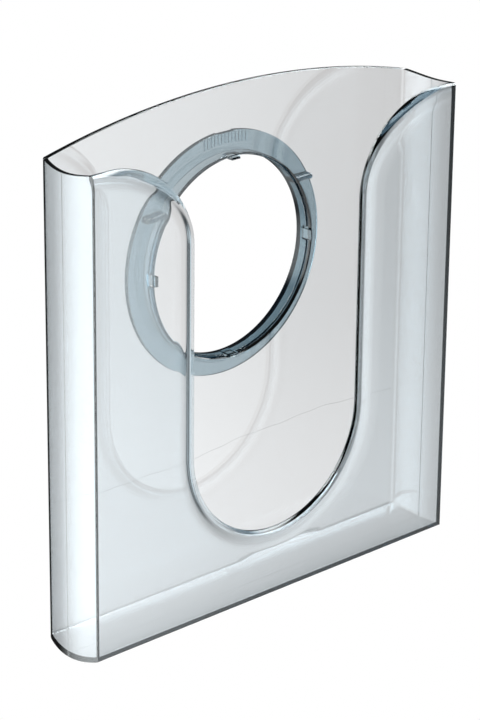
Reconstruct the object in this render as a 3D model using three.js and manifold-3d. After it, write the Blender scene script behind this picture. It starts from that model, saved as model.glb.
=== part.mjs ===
// Wall pocket for A4 magazines and leaflets, clear smoky plastic, with a coupling ring snapped into its back.
//
// Millimetres, +Z up. X runs to the right seen from the front, and Y runs from the front panel to the wall.
// The origin is on the axis of the round hole, in the plane of the back panel's rear face.

import * as THREE from 'three';
import { mergeVertices } from 'three/addons/utils/BufferGeometryUtils.js';
import Module from 'manifold-3d';

const wasm = await Module();
wasm.setup();

// ---------- driving dimensions ----------

// pocket
const HALF_WIDTH = 120; // at the sharp front and rear edges of the side walls
const DEPTH = 39; // outside, front face to rear face
const WALL = 2.5;
const BASE_BELOW_HOLE = 173.5; // hole axis to the lower corners
const SIDE_HEIGHT = 250.6; // lower corners to the top of the side walls
const ARCH_RISE = 15; // the back panel's top above its corners
const BULGE = 3.4; // side walls and floor bow outward by this much at half depth
const SIDE_TOP_DIP = 1.8; // the side walls' top edges are lower at half depth
const HOLE_RADIUS = 53.6;

// cut-out in the front panel: its lip is bevelled from the front face back to a nose, and thicker behind
const LIP_NOSE = {
  half: 55.8, arcCentre: 91.4, shoulderX: 111, shoulderZ: 200.3, shoulderRise: 50.6,
};
const LIP_FACE = {
  half: 58, arcCentre: 91, shoulderX: 134.4, shoulderZ: 205, shoulderRise: 45.4,
};
const LIP_THICKNESS = 4;
const LIP_SECTION = [ // [share of the lip's thickness, share of the way from its nose to its face]
  [0.1, 0.8], [0.31, 0.5], [0.54, 0.22], [0.75, 0.04], [0.86, 0], [0.94, 0.03],
];
const LIP_BEAD = [ // [distance into the panel, height over the panel's inside face]
  [7.5, -1], [7.5, 0.02], [5, 0.2], [4, 0.38], [3, 0.65], [2.1, 1], [1.3, 1.3], [0.6, 1.5],
];

// coupling ring
const TUBE_FRONT = 0.3; // gap behind the pocket's rear face
const TUBE_BACK = 8.4;
const TUBE_OUTER_RADIUS = 54.6;
const TUBE_INNER_FRONT = 52.8;
const TUBE_INNER_BACK = 53.3;
const FLANGE_RADIUS = 65;
const FLANGE_FRONT = 5.9;
const EDGE_BEVEL = 0.5;
const BEAD_RADIUS = 56.1; // low bead round the tube's front rim, below the braces
const BEAD_BACK = 1.4;
const BRACE_HEIGHT = 31; // the two braces' centres above the ring's axis
const BRACE_THICKNESS = 3;
const BRACE_FRONT = 0.5;
const BRACE_END = 55.5; // half of the span over both braces

// four snap tongues, at quarter turns
const WINDOW_WIDTH = 7.4;
const WINDOW_BACK = 3.6;
const TONGUE_WIDTH = 5.4;
const TONGUE_INNER_RADIUS = 52.3;
const TONGUE_OUTER_RADIUS = 53.25;
const HOOK_RADIUS = 54.3;
const HOOK_GAP = 0.3; // in front of the back panel's inside face
const HOOK_THICKNESS = 0.9;

// ribbed pad and notch on the flange, at twelve o'clock
const PAD_HALF_WIDTH = 14.3;
const PAD_INNER_RADIUS = 59;
const PAD_OUTER_RADIUS = 64.2;
const PAD_RIBS = 13;
const PAD_RIB_WIDTH = 1.1;
const PAD_RIB_HEIGHT = 0.4;
const NOTCH_WIDTH = 11;
const NOTCH_DEPTH = 0.7;

// facets
const BOW_STEPS = 14;
const SHOULDER_STEPS = 20;
const SLOT_ARC_STEPS = 40;
const CIRCLE_STEPS = 96;

// ---------- positions worked out from them ----------

const frontFace = -DEPTH;
const frontInside = frontFace + WALL;
const backInside = -WALL;
const base = -BASE_BELOW_HOLE;
const sideTop = base + SIDE_HEIGHT;
const above = 60; // tools that cut upward reach this far past the side walls
const past = 5; // tools that cut through reach this far past a face

// ---------- solids from three.js geometry ----------

function solidFrom(geometry) {
  const bare = geometry.clone();
  bare.deleteAttribute('normal');
  bare.deleteAttribute('uv');
  const merged = mergeVertices(bare, 1e-4);
  return new wasm.Manifold(new wasm.Mesh({
    numProp: 3,
    vertProperties: new Float32Array(merged.attributes.position.array),
    triVerts: new Uint32Array(merged.index.array),
  }));
}

// A drawn outline pushed along one axis. Its two coordinates are the other two axes, in X, Y, Z order.
function prism(shape, axis, from, to) {
  const geometry = new THREE.ExtrudeGeometry(shape, {
    depth: to - from, bevelEnabled: false, curveSegments: 48,
  });
  if (axis === 'x') {
    geometry.applyMatrix4(new THREE.Matrix4().makeBasis(
      new THREE.Vector3(0, 1, 0), new THREE.Vector3(0, 0, 1), new THREE.Vector3(1, 0, 0)));
    geometry.translate(from, 0, 0);
  } else if (axis === 'y') {
    geometry.rotateX(Math.PI / 2);
    geometry.translate(0, to, 0);
  } else {
    geometry.translate(0, 0, from);
  }
  return solidFrom(geometry);
}

// A solid through several outlines that stand one behind the other along Y, all with the same point count.
function loft(sections) {
  const count = sections[0].points.length;
  const positions = sections.flatMap(({ points, y }) => points.flatMap((p) => [p.x, y, p.y]));
  const indices = [];
  for (let s = 0; s + 1 < sections.length; s += 1) {
    for (let i = 0; i < count; i += 1) {
      const a = s * count + i;
      const b = s * count + (i + 1) % count;
      indices.push(a, b, b + count, a, b + count, a + count);
    }
  }
  const last = sections.length - 1;
  THREE.ShapeUtils.triangulateShape(sections[0].points, []).forEach(([a, b, c]) => indices.push(a, b, c));
  THREE.ShapeUtils.triangulateShape(sections[last].points, []).forEach(([a, b, c]) => {
    indices.push(c + last * count, b + last * count, a + last * count);
  });
  return new wasm.Manifold(new wasm.Mesh({
    numProp: 3, vertProperties: new Float32Array(positions), triVerts: new Uint32Array(indices),
  }));
}

function block(x0, x1, y0, y1, z0, z1) {
  const geometry = new THREE.BoxGeometry(x1 - x0, y1 - y0, z1 - z0);
  geometry.translate((x0 + x1) / 2, (y0 + y1) / 2, (z0 + z1) / 2);
  return solidFrom(geometry);
}

// A full turn about the hole's axis of a closed profile of [radius, depth] points.
function turned(profile) {
  const points = [...profile, profile[0]].map(([r, y]) => new THREE.Vector2(r, y));
  return solidFrom(new THREE.LatheGeometry(points, CIRCLE_STEPS));
}

function nodeFrom(name, solid, material) {
  const mesh = solid.getMesh();
  const geometry = new THREE.BufferGeometry();
  geometry.setAttribute('position', new THREE.BufferAttribute(new Float32Array(mesh.vertProperties), 3));
  geometry.setIndex(new THREE.BufferAttribute(new Uint32Array(mesh.triVerts), 1));
  geometry.computeVertexNormals();
  const node = new THREE.Mesh(geometry, material);
  node.name = name;
  return node;
}

// ---------- outlines ----------

// How far a wall of the box bows out at depth y, for its outer or its inner surface.
function bow(y, inset) {
  const halfDepth = DEPTH / 2;
  const radius = (halfDepth ** 2 + BULGE ** 2) / (2 * BULGE);
  return Math.sqrt((radius - inset) ** 2 - (y + halfDepth) ** 2) - (radius - BULGE);
}

// Depths at which the bowed walls are faceted, front to back.
function bowDepths(inset) {
  const front = frontFace + inset;
  return Array.from({ length: BOW_STEPS + 1 }, (_, i) => front + (-inset - front) * i / BOW_STEPS);
}

// The box seen from above: both side walls bow out.
function planOutline(inset) {
  const right = bowDepths(inset).map((y) => new THREE.Vector2(HALF_WIDTH + bow(y, inset), y));
  const left = right.map((p) => new THREE.Vector2(-p.x, p.y)).reverse();
  return new THREE.Shape([...right, ...left]);
}

// The box seen from the side: its floor bows down.
function sideOutline(inset) {
  const floor = bowDepths(inset).map((y) => new THREE.Vector2(y, base - bow(y, inset)));
  const top = sideTop + above;
  const lid = [new THREE.Vector2(-inset, top), new THREE.Vector2(frontFace + inset, top)];
  return new THREE.Shape([...floor, ...lid]);
}

// What is cut away over the side walls, seen from the side.
function sideTopOutline() {
  const span = backInside - frontInside;
  const edge = Array.from({ length: BOW_STEPS + 1 }, (_, i) => {
    const t = i / BOW_STEPS;
    return new THREE.Vector2(frontInside + span * t, sideTop - SIDE_TOP_DIP * Math.sin(Math.PI * t));
  });
  const top = sideTop + 2 * above;
  return new THREE.Shape([...edge, new THREE.Vector2(backInside, top), new THREE.Vector2(frontInside, top)]);
}

// What is cut away over the back panel's arched top, seen from the front.
function archOutline() {
  const radius = (HALF_WIDTH ** 2 + ARCH_RISE ** 2) / (2 * ARCH_RISE);
  const centre = sideTop + ARCH_RISE - radius;
  const reach = HALF_WIDTH + past;
  const start = Math.atan2(sideTop - centre, HALF_WIDTH);
  const shape = new THREE.Shape();
  shape.moveTo(-reach, sideTop);
  shape.lineTo(-HALF_WIDTH, sideTop);
  shape.absarc(0, centre, radius, Math.PI - start, start, true);
  shape.lineTo(reach, sideTop);
  shape.lineTo(reach, sideTop + 2 * above);
  shape.lineTo(-reach, sideTop + 2 * above);
  return shape;
}

// The front panel's cut-out: a round-bottomed slot between two long elliptical shoulders, open upward.
function slotOutline(lip) {
  const reach = HALF_WIDTH + past;
  const corner = HALF_WIDTH + 0.2;
  const width = lip.shoulderX - lip.half;
  const start = Math.PI / 2 + Math.asin(Math.max(lip.shoulderX - corner, 0) / width);
  const right = [new THREE.Vector2(reach, sideTop), new THREE.Vector2(corner, sideTop)];
  for (let i = 0; i <= SHOULDER_STEPS; i += 1) {
    const t = start + (Math.PI - start) * i / SHOULDER_STEPS;
    right.push(new THREE.Vector2(
      lip.shoulderX + width * Math.cos(t), base + lip.shoulderZ + lip.shoulderRise * Math.sin(t)));
  }
  const arc = [];
  const arcCentre = base + lip.arcCentre;
  for (let i = 0; i <= SLOT_ARC_STEPS; i += 1) {
    const t = -Math.PI * i / SLOT_ARC_STEPS;
    arc.push(new THREE.Vector2(lip.half * Math.cos(t), arcCentre + lip.half * Math.sin(t)));
  }
  const left = right.map((p) => new THREE.Vector2(-p.x, p.y)).reverse();
  const top = sideTop + 2 * above;
  const lid = [new THREE.Vector2(-reach, top), new THREE.Vector2(reach, top)];
  return [...right, ...arc, ...left, ...lid];
}

// Between the narrow and the wide outline of the lip: 0 is the nose and 1 is the face.
function lipOutline(share) {
  const mixed = {};
  Object.keys(LIP_NOSE).forEach((key) => {
    mixed[key] = LIP_NOSE[key] + (LIP_FACE[key] - LIP_NOSE[key]) * share;
  });
  return slotOutline(mixed);
}

function circle(radius) {
  const points = Array.from({ length: CIRCLE_STEPS }, (_, i) => {
    const a = 2 * Math.PI * i / CIRCLE_STEPS;
    return new THREE.Vector2(radius * Math.cos(a), radius * Math.sin(a));
  });
  return new THREE.Shape(points);
}

// ---------- pocket ----------

// The bowed box, solid or hollow space. The side walls and the floor meet in mitres at its lower corners.
function bowedBox(inset) {
  const reach = HALF_WIDTH + 2 * BULGE;
  const plan = prism(planOutline(inset), 'z', base - 2 * BULGE, sideTop + above);
  return plan.intersect(prism(sideOutline(inset), 'x', -reach, reach));
}

// The cut-out's outline in the front face, moved into the panel.
function movedInto(distance) {
  const face = lipOutline(1);
  return face.map((p, i) => {
    if (p.y > sideTop + 10) return p;
    const before = face[(i + face.length - 1) % face.length];
    const after = face[(i + 1) % face.length];
    const along = after.clone().sub(before).normalize();
    return new THREE.Vector2(p.x - along.y * distance, p.y + along.x * distance);
  });
}

// The lip's thicker part behind the panel, as a plug that the cut-out then opens.
function lipBead() {
  const plug = loft(LIP_BEAD.map(([distance, height]) => ({ y: frontInside + height, points: movedInto(distance) })));
  return plug.intersect(bowedBox(WALL / 2));
}

// The tool for the front panel's cut-out. It leaves the bevelled lip.
function slotTool() {
  const sections = [
    [frontFace - past, 1],
    [frontFace - 0.03, 1],
    ...LIP_SECTION.map(([depth, share]) => [frontFace + LIP_THICKNESS * depth, share]),
    [frontFace + LIP_THICKNESS + 0.03, 0.2],
    [frontInside + past, 0.2],
  ];
  return loft(sections.map(([y, share]) => ({ y, points: lipOutline(share) })));
}

function pocketSolid() {
  const reach = HALF_WIDTH + 2 * BULGE;
  return bowedBox(0)
    .subtract(bowedBox(WALL))
    .add(lipBead())
    .subtract(prism(sideTopOutline(), 'x', -reach, reach))
    .subtract(prism(archOutline(), 'y', backInside, past))
    .subtract(slotTool())
    .subtract(prism(circle(HOLE_RADIUS), 'y', backInside - past, past));
}

// ---------- coupling ring ----------

// The tube that sits behind the hole, and the flange that catches behind the next holder's front panel.
function ringBlank() {
  const b = EDGE_BEVEL;
  return turned([
    [TUBE_INNER_FRONT, TUBE_FRONT],
    [TUBE_OUTER_RADIUS, TUBE_FRONT],
    [TUBE_OUTER_RADIUS, FLANGE_FRONT],
    [FLANGE_RADIUS - b, FLANGE_FRONT],
    [FLANGE_RADIUS, FLANGE_FRONT + b],
    [FLANGE_RADIUS, TUBE_BACK - b],
    [FLANGE_RADIUS - b, TUBE_BACK],
    [TUBE_INNER_BACK + b, TUBE_BACK],
    [TUBE_INNER_BACK, TUBE_BACK - b],
  ]);
}

// The bead round the tube's front rim. It stops at the two braces.
function bead() {
  const mid = (TUBE_FRONT + BEAD_BACK) / 2;
  const reach = BEAD_RADIUS + 1;
  return turned([
    [TUBE_INNER_FRONT + 0.6, TUBE_FRONT],
    [BEAD_RADIUS - 0.4, TUBE_FRONT],
    [BEAD_RADIUS, mid],
    [BEAD_RADIUS - 0.4, BEAD_BACK],
    [TUBE_INNER_FRONT + 0.6, BEAD_BACK],
  ]).subtract(block(-reach, reach, TUBE_FRONT - 1, BEAD_BACK + 1, BRACE_HEIGHT, reach));
}

// Two level braces from the tube to the flange's edge, with rounded fronts. They fill the next slot's width.
function braces() {
  const half = BRACE_THICKNESS / 2;
  const nose = BRACE_FRONT + half;
  const shape = new THREE.Shape();
  shape.moveTo(FLANGE_FRONT + 0.3, BRACE_HEIGHT - half);
  shape.lineTo(FLANGE_FRONT + 0.3, BRACE_HEIGHT + half);
  shape.lineTo(nose, BRACE_HEIGHT + half);
  for (let i = 1; i < 10; i += 1) {
    const a = Math.PI * (0.5 + i / 10);
    shape.lineTo(nose + half * Math.cos(a), BRACE_HEIGHT + half * Math.sin(a));
  }
  shape.lineTo(nose, BRACE_HEIGHT - half);
  const bore = prism(circle(TUBE_OUTER_RADIUS - 0.6), 'y', -1, TUBE_BACK);
  return prism(shape, 'x', -BRACE_END, BRACE_END).subtract(bore);
}

// Four copies of a solid that is drawn at twelve o'clock, one at each quarter turn.
function atQuarterTurns(solid) {
  return [90, 180, 270].reduce((all, angle) => all.add(solid.rotate([0, angle, 0])), solid);
}

// One window in the tube's front rim.
function windowTool() {
  const w = WINDOW_WIDTH / 2;
  return block(-w, w, TUBE_FRONT - 1, WINDOW_BACK, TUBE_INNER_FRONT - 5, BEAD_RADIUS + 1);
}

// One tongue: it starts inside its window, runs through the hole, and hooks over the back panel.
function tongue() {
  const hookBack = backInside - HOOK_GAP;
  const tip = hookBack - HOOK_THICKNESS;
  const w = TONGUE_WIDTH / 2;
  const root = WINDOW_BACK + 1.2;
  return turned([
    [TONGUE_INNER_RADIUS, tip],
    [TONGUE_OUTER_RADIUS - 0.4, tip],
    [HOOK_RADIUS, hookBack - 0.4],
    [HOOK_RADIUS, hookBack],
    [TONGUE_OUTER_RADIUS, hookBack],
    [TONGUE_OUTER_RADIUS, root],
    [TUBE_INNER_FRONT - 0.3, root],
    [TONGUE_INNER_RADIUS, WINDOW_BACK - 1],
  ]).intersect(block(-w, w, tip - 1, root + 1, 0, HOOK_RADIUS + 1));
}

// Low ribs on the flange's front face.
function padRibs() {
  const band = prism(circle(PAD_OUTER_RADIUS), 'y', FLANGE_FRONT - PAD_RIB_HEIGHT, FLANGE_FRONT + 0.3)
    .subtract(prism(circle(PAD_INNER_RADIUS), 'y', FLANGE_FRONT - 2, FLANGE_FRONT + 1));
  const pitch = (2 * PAD_HALF_WIDTH - PAD_RIB_WIDTH) / (PAD_RIBS - 1);
  let ribs = null;
  for (let i = 0; i < PAD_RIBS; i += 1) {
    const x = -PAD_HALF_WIDTH + pitch * i;
    const rib = block(x, x + PAD_RIB_WIDTH, FLANGE_FRONT - 1, FLANGE_FRONT + 1, 0, FLANGE_RADIUS);
    ribs = ribs ? ribs.add(rib) : rib;
  }
  return band.intersect(ribs);
}

// A shallow flat notch in the flange's edge.
function notchTool() {
  const w = NOTCH_WIDTH / 2;
  return block(-w, w, FLANGE_FRONT - 1, TUBE_BACK + 1, FLANGE_RADIUS - NOTCH_DEPTH, FLANGE_RADIUS + 1);
}

function ringSolid() {
  return ringBlank()
    .add(bead())
    .add(braces())
    .subtract(atQuarterTurns(windowTool()))
    .add(atQuarterTurns(tongue()))
    .add(padRibs())
    .subtract(notchTool());
}

// ---------- materials and assembly ----------

const clearSmoke = new THREE.MeshStandardMaterial({
  name: 'clear_smoke', color: 0xd3d9dc, roughness: 0.06, metalness: 0, transparent: true, opacity: 0.35,
});
const clearBlue = new THREE.MeshStandardMaterial({
  name: 'clear_blue', color: 0x9fb9c4, roughness: 0.08, metalness: 0, transparent: true, opacity: 0.55,
});

const holder = new THREE.Group();
holder.add(nodeFrom('pocket', pocketSolid(), clearSmoke));
holder.add(nodeFrom('coupling_ring', ringSolid(), clearBlue));

export default holder;
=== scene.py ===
# Clear smoky wall pocket with a coupling ring: the fine surfaces, the materials, the light and the camera
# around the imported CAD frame. Lengths are in mm until they go into a mesh.
import math

import bmesh
import bpy
from mathutils import Matrix, Vector


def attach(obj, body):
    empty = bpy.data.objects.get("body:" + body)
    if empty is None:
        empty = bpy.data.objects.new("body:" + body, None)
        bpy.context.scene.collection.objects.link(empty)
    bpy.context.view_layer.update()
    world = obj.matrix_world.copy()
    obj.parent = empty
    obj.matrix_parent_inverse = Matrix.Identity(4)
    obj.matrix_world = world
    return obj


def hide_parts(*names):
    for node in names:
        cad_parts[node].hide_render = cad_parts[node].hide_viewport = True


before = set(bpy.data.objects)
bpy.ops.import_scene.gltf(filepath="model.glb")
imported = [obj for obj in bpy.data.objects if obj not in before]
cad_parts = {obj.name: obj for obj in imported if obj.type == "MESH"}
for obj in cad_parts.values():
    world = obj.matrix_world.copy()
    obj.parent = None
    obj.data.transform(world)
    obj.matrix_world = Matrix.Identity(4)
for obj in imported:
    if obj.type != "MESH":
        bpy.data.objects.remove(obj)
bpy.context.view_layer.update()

MM = 0.001

# ---------- dimensions, the same as the CAD's ----------

HALF_WIDTH = 120.0
DEPTH = 39.0
WALL = 2.5
BASE = -173.5
SIDE_TOP = BASE + 250.6
ARCH_RISE = 15.0
BULGE = 3.4
SIDE_TOP_DIP = 1.8
HOLE_RADIUS = 53.6

# The cut-out in the front panel: half its width, the centre of its round bottom, and each shoulder's ellipse by
# its centre and its upright radius. Heights count from the base. The nose is the lip's innermost line, and the
# face is the lip's edge in the front face.
LIP_NOSE = {"half": 55.8, "centre": 91.4, "x": 111.0, "z": 200.3, "rise": 50.6}
LIP_FACE = {"half": 58.0, "centre": 91.0, "x": 134.4, "z": 205.0, "rise": 45.4}
# The rim behind the front panel: how far outward from the cut-out, and how far behind the panel's inside.
LIP_BEAD = ((9.0, -1.0), (9.0, 0.0), (7.5, 0.02), (6.2, 0.08), (5.0, 0.2),
            (4.0, 0.38), (3.0, 0.65), (2.1, 1.0), (1.3, 1.3), (0.6, 1.5))

TUBE_FRONT, TUBE_BACK = 0.3, 8.4
TUBE_OUTER, TUBE_INNER_FRONT, TUBE_INNER_BACK = 54.6, 52.8, 53.3
FLANGE_RADIUS, FLANGE_FRONT = 65.0, 5.9
BEAD_RADIUS, BEAD_BACK, BEAD_INNER = 56.1, 1.4, TUBE_INNER_FRONT + 0.6
BRACE_Z, BRACE_THICKNESS, BRACE_FRONT, BRACE_END = 31.0, 3.0, 0.5, 55.5
WINDOW_WIDTH, WINDOW_BACK = 7.4, 3.6
TONGUE_WIDTH, TONGUE_INNER, TONGUE_OUTER, HOOK_RADIUS = 5.4, 52.3, 53.25, 54.3
HOOK_GAP, HOOK_THICKNESS, HOOK_CHAMFER = 0.3, 0.9, 0.4
TONGUE_ROOT = WINDOW_BACK + 1.2
PAD_HALF_WIDTH, PAD_INNER, PAD_OUTER = 14.3, 59.0, 64.2
PAD_RIBS, PAD_RIB_WIDTH, PAD_RIB_HEIGHT = 13, 1.1, 0.4
NOTCH_WIDTH, NOTCH_DEPTH = 11.0, 0.7

FRONT = -DEPTH
FRONT_INSIDE = FRONT + WALL
BACK_INSIDE = -WALL

# ---------- details that only the visual model has ----------

DISH_WIDTH, DISH_DEPTH = 16.0, 0.6
DISH_END, DISH_FADE = 118.0, 40.0  # the dish fades out over this width toward the corners
# The lip's section from the front face to the inside: how far the outline still is from the lip's nose,
# as a share, and how deep it lies in the rim's thickness.
LIP_SECTION = ((0.92, 0.03), (0.80, 0.10), (0.65, 0.20), (0.50, 0.31), (0.35, 0.43), (0.22, 0.54),
               (0.12, 0.64), (0.04, 0.75), (0.0, 0.86), (0.02, 0.93), (0.08, 0.98), (0.2, 1.0))
SIDE_ROUNDS, SIDE_INNER_ROUNDS = (0.2, 3.0), (0.1, 1.0)  # upright corners, front and rear
FLOOR_ROUNDS, FLOOR_INNER_ROUNDS = (0.8, 0.5), (0.2, 1.5)  # edges of the floor, front and rear
CUT_ROUND = 0.45  # edges of the hole and of the arch
RING_ROUND = 0.4  # edges of the coupling ring
PARTING_WIDTH, PARTING_DEPTH = 0.4, 0.12
WELD_HEIGHT, WELD_WIDTH, WELD_DEPTH = BASE + 71.0, 0.35, 0.05
WELD_MARGIN = 4.0  # from the box's sides to the ends of the line
WELD_WAVES = ((2.0, 33, 0), (0.5, 9.5, 1), (0.25, 3.3, 0))  # height, length, phase
SHARP_POCKET, SHARP_RING = 15, 25  # an edge that turns by more degrees stays crisp

PAST = 5.0  # how far a cutting tool runs past what it cuts
FAR_PAST = 120.0  # the same above the pocket
SKIN = 0.02  # keeps apart two faces that would lie in one plane
BRACE_OVERLAP, TUBE_OVERLAP = 0.3, 0.6  # how far the bars reach into the flange and into the tube


# ---------- solids ----------

def object_from(name, bm):
    """The finished bmesh as an object in the scene."""
    bmesh.ops.recalc_face_normals(bm, faces=bm.faces)
    mesh = bpy.data.meshes.new(name)
    bm.to_mesh(mesh)
    bm.free()
    piece = bpy.data.objects.new(name, mesh)
    bpy.context.scene.collection.objects.link(piece)
    return piece


def lofted(name, rings):
    """A closed solid through rings of 3-D points (mm) with equal counts, capped at both ends."""
    bm = bmesh.new()
    rows = [[bm.verts.new(Vector(p) * MM) for p in ring] for ring in rings]
    count = len(rows[0])
    for lower, upper in zip(rows, rows[1:]):
        for i in range(count):
            j = (i + 1) % count
            bm.faces.new((lower[i], lower[j], upper[j], upper[i]))
    bm.faces.new(rows[0])
    bm.faces.new(rows[-1])
    return object_from(name, bm)


def prism(name, outline, axis, start, end):
    """An outline pushed along one axis. Its two coordinates are the other two axes in X, Y, Z order."""
    def place(p, at):
        return {"x": (at, p[0], p[1]), "y": (p[0], at, p[1]), "z": (p[0], p[1], at)}[axis]
    return lofted(name, [[place(p, start) for p in outline], [place(p, end) for p in outline]])


def turned(name, profile, steps=256):
    """A full turn of a closed profile of (radius, depth) points about the hole's axis."""
    bm = bmesh.new()
    rows = []
    for i in range(steps):
        a = 2 * math.pi * i / steps
        rows.append([bm.verts.new((r * math.sin(a) * MM, y * MM, r * math.cos(a) * MM))
                     for r, y in profile])
    for i in range(steps):
        near, far = rows[i], rows[(i + 1) % steps]
        for k in range(len(profile)):
            m = (k + 1) % len(profile)
            bm.faces.new((near[k], near[m], far[m], far[k]))
    return object_from(name, bm)


def block(name, x0, x1, y0, y1, z0, z1):
    """A box between two values of X, of Y and of Z."""
    return prism(name, [(x0, y0), (x1, y0), (x1, y1), (x0, y1)], "z", z0, z1)


def combine(piece, tool, operation):
    """Joins to, cuts from or crosses a piece with a tool, then removes the tool."""
    modifier = piece.modifiers.new("combine", "BOOLEAN")
    modifier.operation = operation
    modifier.solver = "MANIFOLD"
    modifier.object = tool
    depsgraph = bpy.context.evaluated_depsgraph_get()
    result = bpy.data.meshes.new_from_object(piece.evaluated_get(depsgraph))
    piece.modifiers.clear()
    old = piece.data
    piece.data = result
    bpy.data.meshes.remove(old)
    bpy.data.objects.remove(tool)
    return piece


def soften(piece, sharp_degrees):
    """Smooth shading that keeps flat faces flat and edges over the given angle crisp."""
    bm = bmesh.new()
    bm.from_mesh(piece.data)
    bmesh.ops.remove_doubles(bm, verts=bm.verts, dist=1e-7)
    limit = math.radians(sharp_degrees)
    for face in bm.faces:
        face.smooth = True
    for edge in bm.edges:
        edge.smooth = len(edge.link_faces) == 2 and edge.calc_face_angle(0.0) < limit
    bm.to_mesh(piece.data)
    bm.free()
    piece.data.materials.clear()
    piece.data.polygons.foreach_set("material_index", [0] * len(piece.data.polygons))
    weighted = piece.modifiers.new("flat_faces", "WEIGHTED_NORMAL")
    weighted.mode = "FACE_AREA"
    weighted.weight = 100
    weighted.keep_sharp = True


# ---------- outlines ----------

def bow(y, inset):
    """How far a wall of the box bows out at depth y."""
    half = DEPTH / 2
    radius = (half ** 2 + BULGE ** 2) / (2 * BULGE)
    return math.sqrt((radius - inset) ** 2 - (y + half) ** 2) - (radius - BULGE)


def wall_curve(inset, rounds, steps=48):
    """(bow, depth) points from the front to the rear edge of a bowed wall, with rounds at its ends.

    The outer outline has the mould's parting line as a small groove at half depth."""
    front, back = FRONT + inset, -inset
    start, end = front + rounds[0], back - rounds[1]
    depths = [start + (end - start) * i / steps for i in range(steps + 1)]
    body = [(bow(y, inset), y) for y in depths]
    if inset == 0:
        half, middle = len(body) // 2, -DEPTH / 2
        crown = bow(middle, 0)
        body[half:half + 1] = [(crown, middle - PARTING_WIDTH / 2), (crown - PARTING_DEPTH, middle),
                               (crown, middle + PARTING_WIDTH / 2)]

    def corner(edge, near, corner_steps=10):
        """A round from the flat panel at depth edge to the bowed wall at depth near."""
        points = []
        r = abs(near - edge)
        for i in range(corner_steps):
            t = i / corner_steps
            start_weight, corner_weight, end_weight = (1 - t) ** 2, 2 * t * (1 - t), t ** 2
            b = (start_weight * (bow(edge, inset) - r) + corner_weight * bow(edge, inset)
                 + end_weight * bow(near, inset))
            y = start_weight * edge + corner_weight * edge + end_weight * near
            points.append((b, y))
        return points

    return corner(front, start) + body + corner(back, end)[::-1]


def plan_outline(inset):
    """The box seen from above: flat front and rear, bowed sides."""
    rounds = SIDE_INNER_ROUNDS if inset else SIDE_ROUNDS
    right = [(HALF_WIDTH + b, y) for b, y in wall_curve(inset, rounds)]
    return right + [(-x, y) for x, y in reversed(right)]


def side_outline(inset):
    """The box seen from the side: bowed floor, open top."""
    rounds = FLOOR_INNER_ROUNDS if inset else FLOOR_ROUNDS
    floor = [(y, BASE - b) for b, y in wall_curve(inset, rounds)]
    top = SIDE_TOP + FAR_PAST / 2
    return floor + [(-inset, top), (FRONT + inset, top)]


def side_top_outline(steps=48):
    """What is cut off above the side walls, whose top edges dip a little between the panels."""
    span = BACK_INSIDE - FRONT_INSIDE
    edge = []
    for i in range(steps + 1):
        t = i / steps
        edge.append((FRONT_INSIDE + span * t, SIDE_TOP - SIDE_TOP_DIP * math.sin(math.pi * t)))
    return edge + [(BACK_INSIDE, SIDE_TOP + FAR_PAST), (FRONT_INSIDE, SIDE_TOP + FAR_PAST)]


def arch_outline(lift, steps=96):
    """What is cut off above the back panel's arch, lifted by some mm."""
    radius = (HALF_WIDTH ** 2 + ARCH_RISE ** 2) / (2 * ARCH_RISE)
    centre = SIDE_TOP + ARCH_RISE - radius
    start = math.atan2(SIDE_TOP - centre, HALF_WIDTH)
    reach = HALF_WIDTH + PAST
    edge = [(-reach, SIDE_TOP + lift)]
    for i in range(steps + 1):
        a = math.pi - start + (2 * start - math.pi) * i / steps
        edge.append((radius * math.cos(a), centre + radius * math.sin(a) + lift))
    edge.append((reach, SIDE_TOP + lift))
    return edge + [(reach, SIDE_TOP + FAR_PAST), (-reach, SIDE_TOP + FAR_PAST)]


def lip_outline(share, shoulder_steps=56, arc_steps=96):
    """The front panel's cut-out: share 0 is the lip's nose, share 1 its edge in the front face.

    Each shoulder is a quarter of an ellipse, and starts later where its centre lies past the corner."""
    mix = {k: LIP_NOSE[k] + (LIP_FACE[k] - LIP_NOSE[k]) * share for k in LIP_NOSE}
    reach, corner = HALF_WIDTH + PAST, HALF_WIDTH + 0.2
    width = mix["x"] - mix["half"]
    start = math.pi / 2 + math.asin(max(mix["x"] - corner, 0.0) / width)
    right = [(reach, SIDE_TOP), (corner, SIDE_TOP)]
    for i in range(shoulder_steps + 1):
        t = start + (math.pi - start) * i / shoulder_steps
        right.append((mix["x"] + width * math.cos(t), BASE + mix["z"] + mix["rise"] * math.sin(t)))
    arc = []
    for i in range(arc_steps + 1):
        t = -math.pi * i / arc_steps
        arc.append((mix["half"] * math.cos(t), BASE + mix["centre"] + mix["half"] * math.sin(t)))
    left = [(-x, z) for x, z in reversed(right)]
    return right + arc + left + [(-reach, SIDE_TOP + FAR_PAST), (reach, SIDE_TOP + FAR_PAST)]


def circle(radius, steps=256):
    """(x, z) points round the hole's axis."""
    return [(radius * math.sin(2 * math.pi * i / steps), radius * math.cos(2 * math.pi * i / steps))
            for i in range(steps)]


# ---------- pocket ----------

def bowed_box(name, inset):
    """The box as a solid with its walls moved inward by inset, running on above the top."""
    reach = HALF_WIDTH + 2 * BULGE
    box = prism(name, plan_outline(inset), "z", BASE - 2 * BULGE, SIDE_TOP + FAR_PAST / 2)
    return combine(box, prism("side", side_outline(inset), "x", -reach, reach), "INTERSECT")


def dish_share(x):
    """How much of the dish round the cut-out is left at x: all of it inside, none at the corners."""
    t = min(max((DISH_END - abs(x)) / DISH_FADE, 0.0), 1.0)
    return t * t * (3 - 2 * t)


def below_top(z):
    """True on the cut-out itself, and not on the part of its outline that closes it far above."""
    return z < SIDE_TOP + 10


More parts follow.
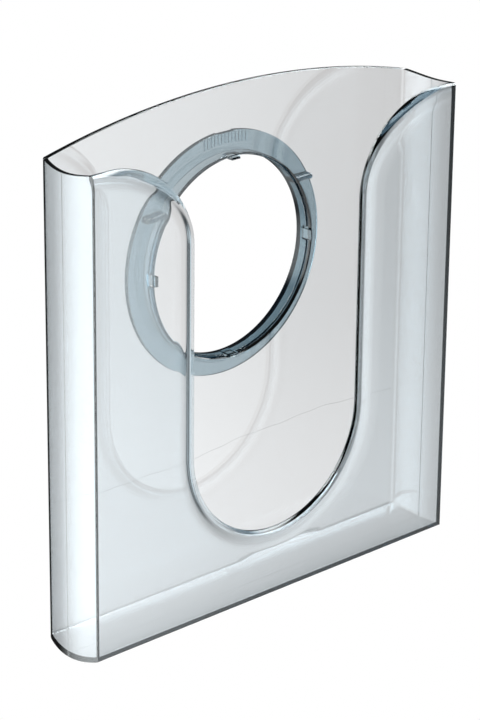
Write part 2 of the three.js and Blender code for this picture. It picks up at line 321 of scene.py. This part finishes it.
def outward_ring(depth, offset, dished=False):
    """The cut-out's outline in the front face, moved outward into the panel.

    The function depth gives each point's Y from the share of the offset that the point gets."""
    face = lip_outline(1.0)
    ring = []
    for i, (x, z) in enumerate(face):
        before, after = face[i - 1], face[(i + 1) % len(face)]
        tangent = Vector((after[0] - before[0], after[1] - before[1])).normalized()
        share = 0.0
        if below_top(z):
            share = dish_share(x) if dished else 1.0
        ring.append((x - tangent.y * offset * share, depth(share), z + tangent.x * offset * share))
    return ring


def lip_bead():
    """The thicker rim behind the front panel, as a plug that the cut-out then opens."""
    rings = [outward_ring(lambda share: FRONT_INSIDE + behind, offset) for offset, behind in LIP_BEAD]
    bead = lofted("bead", rings)
    return combine(bead, bowed_box("room", WALL / 2), "INTERSECT")


def slot_tool():
    """The cut-out's tool: a shallow dish in the front face, then the rounded lip, then straight inward."""
    def dish(s, lift=0.0):
        return outward_ring(lambda share: FRONT - SKIN - lift + DISH_DEPTH * (1 - s) ** 2 * share,
                            DISH_WIDTH * s, dished=True)

    steps = 12
    rings = [dish(1.0, PAST)] + [dish(1 - i / steps) for i in range(steps + 1)]
    thickness = WALL + LIP_BEAD[-1][1]
    face = lip_outline(1.0)
    for share, depth in LIP_SECTION:
        ring = []
        for (x, z), (face_x, _) in zip(lip_outline(share), face):
            front = FRONT - SKIN + DISH_DEPTH * (dish_share(face_x) if below_top(z) else 0.0)
            ring.append((x, front + (FRONT + thickness + SKIN - front) * depth, z))
        rings.append(ring)
    rings.append([(x, FRONT_INSIDE + PAST, z) for x, _, z in rings[-1]])
    return lofted("slot", rings)


def hole_tool():
    """The round hole in the back panel, with small chamfers at both ends."""
    r = CUT_ROUND
    rings = [(BACK_INSIDE - PAST, r), (BACK_INSIDE, r), (BACK_INSIDE + r, 0.0), (-r, 0.0), (0.0, r), (PAST, r)]
    return lofted("hole", [[(x, y, z) for x, z in circle(HOLE_RADIUS + grow)] for y, grow in rings])


def arch_tool():
    """What the back panel's arch leaves off, with small chamfers along its edge."""
    r = CUT_ROUND
    rings = [(BACK_INSIDE, -r), (BACK_INSIDE + r, 0.0), (-r, 0.0), (SKIN, -r), (PAST, -r)]
    return lofted("arch", [[(x, y, z) for x, z in arch_outline(lift)] for y, lift in rings])


def weld_tool(steps=160):
    """The faint wavy line where the plastic met while the back panel was moulded."""
    rings = []
    half = HALF_WIDTH - WELD_MARGIN
    for i in range(steps + 1):
        x = -half + 2 * half * i / steps
        z = WELD_HEIGHT
        for height, length, phase in WELD_WAVES:
            z += height * math.sin(x / length + phase)
        w = WELD_WIDTH / 2
        rings.append([(x, -WELD_DEPTH, z), (x, 0.5, z - w * 6), (x, 0.5, z + w * 6)])
    return lofted("weld", rings)


def make_pocket():
    """The one moulding: a bowed shell, its lip, and everything cut from it."""
    reach = HALF_WIDTH + 2 * BULGE
    pocket = bowed_box("pocket_shell", 0)
    combine(pocket, bowed_box("hollow", WALL), "DIFFERENCE")
    combine(pocket, lip_bead(), "UNION")
    combine(pocket, prism("side_top", side_top_outline(), "x", -reach, reach), "DIFFERENCE")
    combine(pocket, arch_tool(), "DIFFERENCE")
    combine(pocket, slot_tool(), "DIFFERENCE")
    combine(pocket, hole_tool(), "DIFFERENCE")
    combine(pocket, weld_tool(), "DIFFERENCE")
    soften(pocket, SHARP_POCKET)
    return pocket


# ---------- coupling ring ----------

def round_profile(points, radius=RING_ROUND, steps=4):
    """The same closed profile with each corner rounded."""
    rounded = []
    for i, p in enumerate(points):
        before, after = Vector(points[i - 1]), Vector(points[(i + 1) % len(points)])
        p = Vector(p)
        r = min(radius, (before - p).length * 0.45, (after - p).length * 0.45)
        a, b = p + (before - p).normalized() * r, p + (after - p).normalized() * r
        for k in range(steps + 1):
            t = k / steps
            rounded.append(tuple((1 - t) ** 2 * a + 2 * t * (1 - t) * p + t ** 2 * b))
    return rounded


def braces(nose_steps=20):
    """Two level bars with round front edges, one each side of the tube."""
    half = BRACE_THICKNESS / 2
    nose, root = BRACE_FRONT + half, FLANGE_FRONT + BRACE_OVERLAP
    outline = [(root, BRACE_Z - half), (root, BRACE_Z + half), (nose, BRACE_Z + half)]
    for i in range(1, nose_steps):
        a = math.pi * (0.5 + i / nose_steps)
        outline.append((nose + half * math.cos(a), BRACE_Z + half * math.sin(a)))
    outline.append((nose, BRACE_Z - half))
    bars = prism("braces", outline, "x", -BRACE_END, BRACE_END)
    return combine(bars, prism("bore", circle(TUBE_OUTER - TUBE_OVERLAP), "y", -1, TUBE_BACK), "DIFFERENCE")


def add_tongue(ring, quarter):
    """A window in the tube with a snap tongue in it, whose hook lies over the back panel's inside."""
    turn = Matrix.Rotation(quarter * math.pi / 2, 4, "Y")
    w = WINDOW_WIDTH / 2
    window = block("window", -w, w, TUBE_FRONT - 1, WINDOW_BACK, TUBE_INNER_FRONT - 5, BEAD_RADIUS + 1)
    window.data.transform(turn)
    combine(ring, window, "DIFFERENCE")
    hook_back = BACK_INSIDE - HOOK_GAP
    tip = hook_back - HOOK_THICKNESS
    w = TONGUE_WIDTH / 2
    tongue = turned("tongue", [
        (TONGUE_INNER, tip), (TONGUE_OUTER - HOOK_CHAMFER, tip), (HOOK_RADIUS, hook_back - HOOK_CHAMFER),
        (HOOK_RADIUS, hook_back), (TONGUE_OUTER, hook_back), (TONGUE_OUTER, TONGUE_ROOT),
        (TUBE_INNER_FRONT - 0.3, TONGUE_ROOT), (TONGUE_INNER, WINDOW_BACK - 1)])
    combine(tongue, block("width", -w, w, tip - 1, TONGUE_ROOT + 1, 0, HOOK_RADIUS + 1), "INTERSECT")
    tongue.data.transform(turn)
    combine(ring, tongue, "UNION")


def ribbed_pad():
    """The pad at the top of the flange, as a row of plain upright ribs."""
    pad = turned("pad", [
        (PAD_INNER, FLANGE_FRONT - PAD_RIB_HEIGHT), (PAD_OUTER, FLANGE_FRONT - PAD_RIB_HEIGHT),
        (PAD_OUTER, FLANGE_FRONT + 0.5), (PAD_INNER, FLANGE_FRONT + 0.5)])

    def rib(name, i):
        x = -PAD_HALF_WIDTH + (2 * PAD_HALF_WIDTH - PAD_RIB_WIDTH) / (PAD_RIBS - 1) * i
        return block(name, x, x + PAD_RIB_WIDTH, FLANGE_FRONT - 1, FLANGE_FRONT + 1, 50, FLANGE_RADIUS)

    comb = rib("comb", 0)
    for i in range(1, PAD_RIBS):
        combine(comb, rib("rib", i), "UNION")
    return combine(pad, comb, "INTERSECT")


def make_ring():
    """The second moulding: tube, flange, bead, braces, tongues and pad."""
    ring = turned("ring_shell", round_profile([
        (TUBE_INNER_FRONT, TUBE_FRONT), (TUBE_OUTER, TUBE_FRONT), (TUBE_OUTER, FLANGE_FRONT),
        (FLANGE_RADIUS, FLANGE_FRONT), (FLANGE_RADIUS, TUBE_BACK), (TUBE_INNER_BACK, TUBE_BACK)]))
    reach = BEAD_RADIUS + 1
    bead = turned("bead", round_profile([
        (BEAD_INNER, TUBE_FRONT + SKIN), (BEAD_RADIUS, TUBE_FRONT + SKIN),
        (BEAD_RADIUS, BEAD_BACK), (BEAD_INNER, BEAD_BACK)]))
    above = block("above", -reach, reach, TUBE_FRONT - 1, BEAD_BACK + 1, BRACE_Z, reach)
    combine(bead, above, "DIFFERENCE")
    combine(ring, bead, "UNION")
    combine(ring, braces(), "UNION")
    for quarter in range(4):
        add_tongue(ring, quarter)
    combine(ring, ribbed_pad(), "UNION")
    w = NOTCH_WIDTH / 2
    combine(ring, block("notch", -w, w, FLANGE_FRONT - 1, TUBE_BACK + 1,
                        FLANGE_RADIUS - NOTCH_DEPTH, FLANGE_RADIUS + 1), "DIFFERENCE")
    soften(ring, SHARP_RING)
    return ring


# ---------- materials ----------

def clear_plastic(name, absorbed, density):
    """Glossy clear plastic whose tint grows with the thickness that the light goes through."""
    material = bpy.data.materials.new(name)
    material.use_nodes = True
    nodes, links = material.node_tree.nodes, material.node_tree.links
    shader = nodes["Principled BSDF"]
    shader.inputs["Base Color"].default_value = (1, 1, 1, 1)
    shader.inputs["Roughness"].default_value = 0.0
    shader.inputs["IOR"].default_value = 1.59
    shader.inputs["Transmission Weight"].default_value = 1
    volume = nodes.new("ShaderNodeVolumeAbsorption")
    volume.inputs["Color"].default_value = (*absorbed, 1)
    volume.inputs["Density"].default_value = density
    links.new(volume.outputs["Volume"], nodes["Material Output"].inputs["Volume"])
    return material


pocket = make_pocket()
pocket.data.materials.append(clear_plastic("clear_smoke", (0.50, 0.58, 0.625), 200))
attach(pocket, "holder")
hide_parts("pocket")

ring = make_ring()
ring.data.materials.append(clear_plastic("clear_blue", (0.30, 0.47, 0.545), 600))
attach(ring, "ring")
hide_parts("coupling_ring")


# ---------- floor, light and camera ----------

FLOOR_HALF, FLOOR_BOTTOM, FLOOR_TOP = 700, -1310, -1300

# What reflections show, as directions from the object. A softbox is a window in the angle around the vertical,
# a window in the direction's Z, and a strength. A window is its low end, how soft that end is, its high end,
# and how soft that end is. Angles are in radians from the back: to the left for the first two softboxes, and to
# both sides for the third.
LEFT_BOX = ((0.80, 0.45, 1.50, 0.10), (-0.80, 0.1, 0.3, 0.1), 5.4)
RIGHT_BOX = ((-1.46, 0.08, -1.08, 0.08), (-0.80, 0.1, 0.3, 0.1), 2.0)
FRONT_BOX = ((2.38, 0.12, 4.0, 0.1), (-0.80, 0.1, 0.0, 0.1), 2.3)
# A round lamp is its direction, its radius in degrees, and its strength.
OVERHEAD_LAMP = ((0.62, -0.05, 0.78), 29, 14.0)
LOW_LAMP = ((0.76, -0.49, -0.42), 13, 1.2)
ROOM_LEVEL, FLOOR_GLOW = 0.06, 0.5
REPEAT_LOSS = 0.9  # the share of the lamps' light that repeated reflections lose
BACKDROP_TINT, LAMP_TINT, REPEAT_TINT = (1.0, 0.955, 0.935), (0.92, 0.98, 1.0), (0.11, 0.20, 0.26)

CAMERA_AZIMUTH, CAMERA_ELEVATION, CAMERA_ROLL = -42.05, 19.9, 0.54  # degrees
CAMERA_TARGET, CAMERA_DISTANCE = (-28.8, -39.0, 15.4), 1334.2
LENS, SENSOR_WIDTH, SHIFT_UP, CLIP_END = 136.5, 36, -0.139, 50


def make_floor():
    """A matt white floor far below the object, outside the main view."""
    h = FLOOR_HALF
    floor = prism("floor", [(-h, -h), (h, -h), (h, h), (-h, h)], "z", FLOOR_BOTTOM, FLOOR_TOP)
    material = bpy.data.materials.new("floor")
    material.use_nodes = True
    shader = material.node_tree.nodes["Principled BSDF"]
    shader.inputs["Base Color"].default_value = (0.93, 0.93, 0.93, 1)
    shader.inputs["Roughness"].default_value = 0.9
    shader.inputs["Specular IOR Level"].default_value = 0
    floor.data.materials.append(material)


def make_world():
    """A white studio. The camera and diffuse rays see plain white.

    Straight through the plastic stands a backdrop: pale behind and in front, darker to the sides and above,
    and bright below. Reflections show a dim room instead, with a tall softbox at the left and at the right, a
    low one across the front, and at both sides a lamp high up and a small one low down. It dims as reflections
    repeat."""
    world = bpy.data.worlds.new("studio")
    bpy.context.scene.world = world
    world.use_nodes = True
    nodes, links = world.node_tree.nodes, world.node_tree.links

    def put(socket, value):
        if isinstance(value, bpy.types.NodeSocket):
            links.new(value, socket)
        else:
            socket.default_value = value

    def math_node(operation, first, *others):
        """The operation applied from left to right."""
        for other in others:
            node = nodes.new("ShaderNodeMath")
            node.operation = operation
            put(node.inputs[0], first)
            put(node.inputs[1], other)
            first = node.outputs[0]
        return first

    def add(*values):
        return math_node("ADD", *values)

    def multiply(*values):
        return math_node("MULTIPLY", *values)

    def ramp(value, low, high, start, end):
        node = nodes.new("ShaderNodeMapRange")
        node.interpolation_type = "SMOOTHSTEP"
        for name, setting in (("Value", value), ("From Min", low), ("From Max", high),
                              ("To Min", start), ("To Max", end)):
            put(node.inputs[name], setting)
        return node.outputs["Result"]

    def window(value, low, low_soft, high, high_soft):
        return multiply(ramp(value, low - low_soft, low + low_soft, 0, 1),
                        ramp(value, high - high_soft, high + high_soft, 1, 0))

    def softbox(angle, box):
        around, heights, strength = box
        return multiply(window(angle, *around), window(z, *heights), strength)

    def lamp(at, degrees, strength):
        """A round lamp at each side, brightest in its middle."""
        at = Vector(at).normalized()
        dot = add(multiply(side, at.x), multiply(y, at.y), multiply(z, at.z))
        return ramp(dot, math.cos(math.radians(degrees)), 1.0, 0.0, strength)

    def mixed(factor, first, second):
        node = nodes.new("ShaderNodeMix")
        node.data_type = "RGBA"
        put(node.inputs["Factor"], factor)
        for socket, value in zip(node.inputs[6:8], (first, second)):
            put(socket, value)
        return node.outputs[2]

    def tinted(value, colour):
        node = nodes.new("ShaderNodeVectorMath")
        node.operation = "SCALE"
        put(node.inputs[0], colour)
        put(node.inputs["Scale"], value)
        return node.outputs[0]

    coordinates = nodes.new("ShaderNodeTexCoord")
    split = nodes.new("ShaderNodeSeparateXYZ")
    links.new(coordinates.outputs["Generated"], split.inputs[0])
    x, y, z = split.outputs
    side = math_node("ABSOLUTE", x, 0.0)
    from_back = math_node("ARCTAN2", side, y)
    to_left = math_node("ARCTAN2", multiply(x, -1.0), y)

    # the backdrop: darker to the sides and above, bright below, with slight steps in its level
    ahead = math_node("SUBTRACT", math_node("ABSOLUTE", y, 0.0), ramp(x, 0.0, 0.5, 0.0, 0.12))
    below = ramp(z, -0.70, -0.52, 1.0, 0.0)
    pale = multiply(ramp(ahead, 0.28, 0.50, 0.24, 0.88), ramp(z, -0.1, 0.4, 1.0, 0.3))
    pale = math_node("MAXIMUM", pale, multiply(below, 0.95))
    pale = multiply(pale, ramp(side, 0.56, 0.66, 1.09, 1.04), ramp(z, -0.43, -0.34, 1.12, 0.96))

    # the room in reflections, dimmer from the first reflection to the third
    path = nodes.new("ShaderNodeLightPath")
    again = ramp(path.outputs["Glossy Depth"], 1.0, 3.0, 0.0, 1.0)
    lamps = add(softbox(to_left, LEFT_BOX), softbox(to_left, RIGHT_BOX), softbox(from_back, FRONT_BOX),
                lamp(*OVERHEAD_LAMP), lamp(*LOW_LAMP))
    room = add(multiply(lamps, math_node("SUBTRACT", 1.0, multiply(again, REPEAT_LOSS))),
               multiply(below, FLOOR_GLOW), ROOM_LEVEL)
    studio = nodes.new("ShaderNodeVectorMath")
    studio.operation = "ADD"
    links.new(tinted(room, LAMP_TINT), studio.inputs[0])
    links.new(tinted(again, REPEAT_TINT), studio.inputs[1])

    # which of them a ray sees
    reflected = math_node("MINIMUM", path.outputs["Glossy Depth"], 1.0)
    seen = mixed(reflected, tinted(pale, BACKDROP_TINT), studio.outputs[0])
    direct = math_node("MAXIMUM", path.outputs["Is Camera Ray"], path.outputs["Is Diffuse Ray"])
    shown = mixed(direct, seen, (1.0, 1.0, 1.0, 1.0))
    links.new(shown, nodes["Background"].inputs["Color"])
    nodes["Background"].inputs["Strength"].default_value = 1.0


def make_camera():
    """The main view, from the front left and a little above."""
    azimuth, elevation, roll = map(math.radians, (CAMERA_AZIMUTH, CAMERA_ELEVATION, CAMERA_ROLL))
    distance = CAMERA_DISTANCE * MM
    target = Vector(CAMERA_TARGET) * MM
    back = Vector((math.sin(azimuth) * math.cos(elevation), -math.cos(azimuth) * math.cos(elevation),
                   math.sin(elevation)))
    right = Vector((0, 0, 1)).cross(back).normalized()
    up = back.cross(right)
    turned_right = right * math.cos(roll) + up * math.sin(roll)
    turned_up = back.cross(turned_right)
    data = bpy.data.cameras.new("camera")
    data.lens = LENS
    data.sensor_width = SENSOR_WIDTH
    data.shift_y = SHIFT_UP
    data.clip_end = CLIP_END
    camera = bpy.data.objects.new("camera", data)
    camera.matrix_world = Matrix.Translation(target + back * distance) @ Matrix(
        (turned_right, turned_up, back)).transposed().to_4x4()
    bpy.context.scene.collection.objects.link(camera)
    bpy.context.scene.camera = camera


make_floor()
make_world()
make_camera()
bpy.context.scene.view_settings.view_transform = "Standard"
bpy.context.scene.cycles.max_bounces = 24
bpy.context.scene.cycles.transmission_bounces = 24
